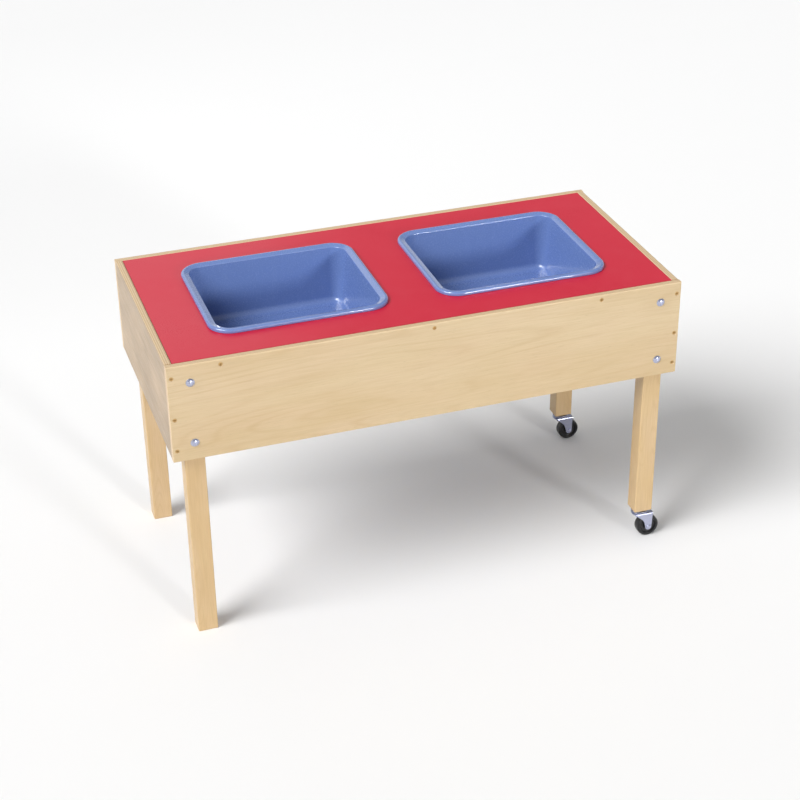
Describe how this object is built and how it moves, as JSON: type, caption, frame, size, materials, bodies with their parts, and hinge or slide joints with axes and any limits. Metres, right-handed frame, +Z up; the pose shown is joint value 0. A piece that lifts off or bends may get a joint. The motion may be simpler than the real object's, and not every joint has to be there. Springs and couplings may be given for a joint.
{
  "type": "sand and water table",
  "caption": "Rectangular plywood play table with a red laminated top, blue lift-out tubs set into it, straight wooden legs, and swivel casters under the legs at one end.",
  "frame": {"origin": "on the floor under the middle of the table", "axes": "+X along the table towards the caster end, +Y from the front apron to the back apron, +Z up"},
  "size_m": [1.067, 0.5168, 0.638],
  "materials": {
    "birch_plywood": "clear-lacquered birch plywood, satin, long grain along each panel",
    "top_core": "bare plywood core",
    "red_laminate": "high-pressure laminate, fine satin texture",
    "maple": "clear-lacquered solid maple, satin",
    "blue_plastic": "moulded plastic, soft gloss",
    "brass_plated_screws": "dull yellow passivated",
    "zinc_plate": "bright zinc plate with a bluish cast",
    "bearing_steel": "polished steel",
    "black_wheel": "hard black moulding, semi-matt"
  },
  "bodies": {
    "frame": {"front_apron": "birch_plywood", "back_apron": "birch_plywood", "left_end_panel": "birch_plywood", "right_end_panel": "birch_plywood", "top_panel": "top_core", "top_laminate": "red_laminate", "leg_front_left": "maple", "leg_back_left": "maple", "leg_front_right": "maple", "leg_back_right": "maple", "corner_screws": "brass_plated_screws", "top_screws": "brass_plated_screws", "carriage_bolts": "zinc_plate", "bolt_washers": "zinc_plate", "bolt_nuts": "zinc_plate", "front_caster_socket": "zinc_plate", "front_caster_stem": "zinc_plate", "front_caster_upper_race": "zinc_plate", "front_caster_race_balls": "bearing_steel", "back_caster_socket": "zinc_plate", "back_caster_stem": "zinc_plate", "back_caster_upper_race": "zinc_plate", "back_caster_race_balls": "bearing_steel"},
    "front_caster_fork": {"front_caster_lower_race": "zinc_plate", "front_caster_fork": "zinc_plate", "front_caster_axle_bolt": "zinc_plate", "front_caster_axle_nut": "zinc_plate"},
    "front_caster_wheel": {"front_caster_wheel": "black_wheel", "front_caster_wheel_bushing": "bearing_steel"},
    "back_caster_fork": {"back_caster_lower_race": "zinc_plate", "back_caster_fork": "zinc_plate", "back_caster_axle_bolt": "zinc_plate", "back_caster_axle_nut": "zinc_plate"},
    "back_caster_wheel": {"back_caster_wheel": "black_wheel", "back_caster_wheel_bushing": "bearing_steel"},
    "left_tub": {"left_tub": "blue_plastic"},
    "right_tub": {"right_tub": "blue_plastic"}
  },
  "joints": [
    {"name": "front_caster_swivel", "type": "hinge", "parent": "frame", "child": "front_caster_fork", "pos_m": [0.489, -0.22, 0.064], "axis": [0, 0, 1], "continuous": true},
    {"name": "front_caster_roll", "type": "hinge", "parent": "front_caster_fork", "child": "front_caster_wheel", "pos_m": [0.508, -0.22, 0.025], "axis": [0, 1, 0], "continuous": true},
    {"name": "back_caster_swivel", "type": "hinge", "parent": "frame", "child": "back_caster_fork", "pos_m": [0.489, 0.22, 0.064], "axis": [0, 0, 1], "continuous": true},
    {"name": "back_caster_roll", "type": "hinge", "parent": "back_caster_fork", "child": "back_caster_wheel", "pos_m": [0.508, 0.22, 0.025], "axis": [0, 1, 0], "continuous": true},
    {"name": "left_tub_lift", "type": "slide", "parent": "frame", "child": "left_tub", "axis": [0, 0, 1], "range_m": [0, 0.25]},
    {"name": "right_tub_lift", "type": "slide", "parent": "frame", "child": "right_tub", "axis": [0, 0, 1], "range_m": [0, 0.25]}
  ]
}
